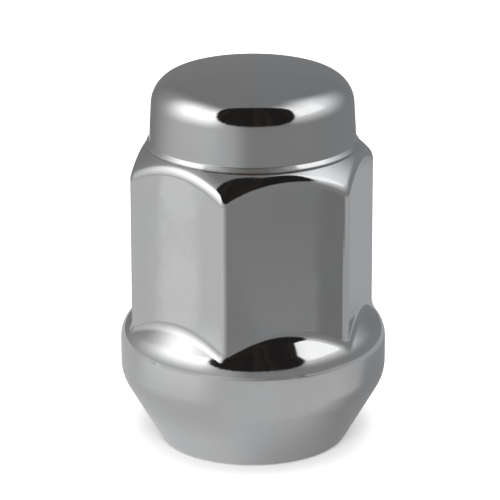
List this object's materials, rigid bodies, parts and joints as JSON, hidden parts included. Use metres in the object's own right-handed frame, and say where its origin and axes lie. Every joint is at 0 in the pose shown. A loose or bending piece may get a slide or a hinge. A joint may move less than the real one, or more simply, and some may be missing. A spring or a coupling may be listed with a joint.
{
  "type": "lug nut",
  "caption": "Chrome-plated closed-end lug nut with a bulge conical seat, a long wrench hexagon and a pressed cap welded on top.",
  "frame": {"origin": "centre of the conical seat's small flat end, on the thread's axis", "axes": "+Z along the thread, from the stud's side towards the closed cap; two opposite hexagon corners lie on the X axis"},
  "size_m": [0.025, 0.025, 0.0358],
  "materials": {
    "body_chrome": "bright chrome plating over a cold-formed steel body, bare grey steel in the thread",
    "cap_chrome": "bright chrome plating over a pressed steel cap"
  },
  "bodies": {
    "root": {"nut_body": "body_chrome", "end_cap": "cap_chrome"}
  },
  "joints": []
}
